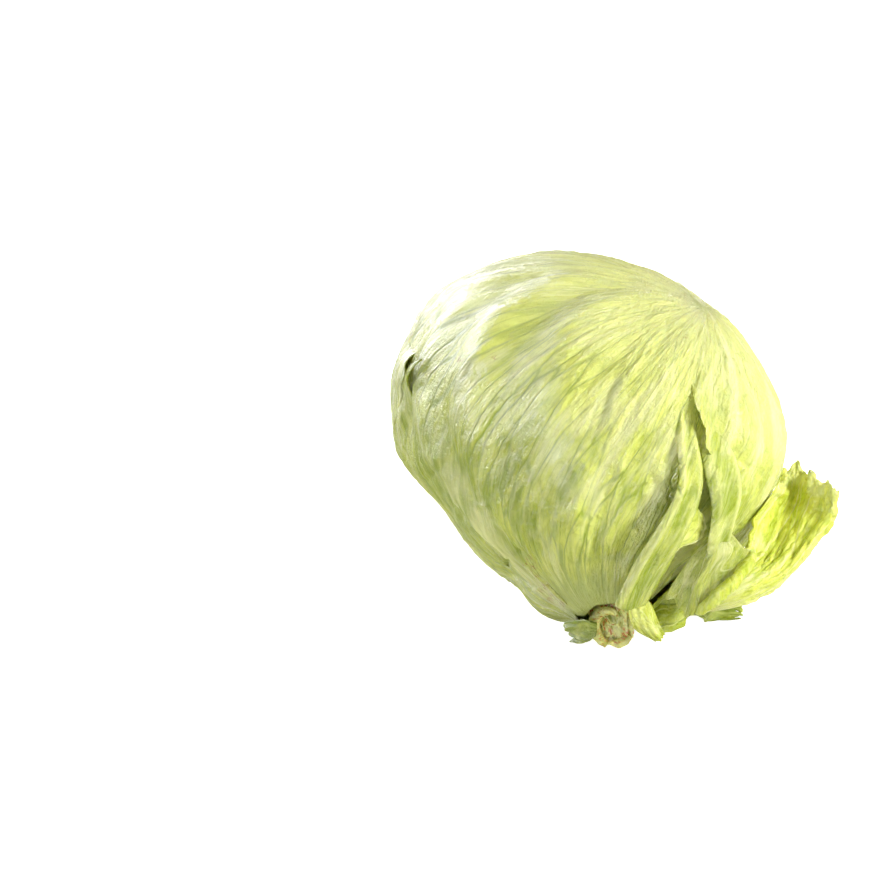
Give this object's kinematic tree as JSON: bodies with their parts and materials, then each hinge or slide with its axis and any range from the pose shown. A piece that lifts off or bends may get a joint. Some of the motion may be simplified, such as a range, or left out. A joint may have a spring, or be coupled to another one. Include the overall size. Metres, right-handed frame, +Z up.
{
  "type": "head of lettuce",
  "caption": "Closed round head of crisp lettuce lying on its side, with a cut stem, loose torn outer leaves and a frilled leaf that opens at the lower right.",
  "frame": {"origin": "on the table, in the middle of the flat spot under the head", "axes": "+X to the viewer's right, towards the frilled leaf; +Y away from the viewer; +Z up; the cut stem points down and to the front"},
  "size_m": [0.1842, 0.1532, 0.1459],
  "materials": {
    "outer_leaf": "waxy, slightly glossy pale green",
    "inner_leaf": "smooth pale yellow-green",
    "loose_leaf": "crinkled fresh green",
    "stem": "cut, moist cream with rust-brown edges"
  },
  "bodies": {
    "root": {"stem": "stem", "heart": "inner_leaf", "front_leaf": "outer_leaf", "right_leaf": "outer_leaf", "back_leaf": "outer_leaf", "crown_leaf": "inner_leaf", "frilled_leaf": "loose_leaf", "low_leaf": "loose_leaf", "small_leaf": "loose_leaf"}
  },
  "joints": []
}
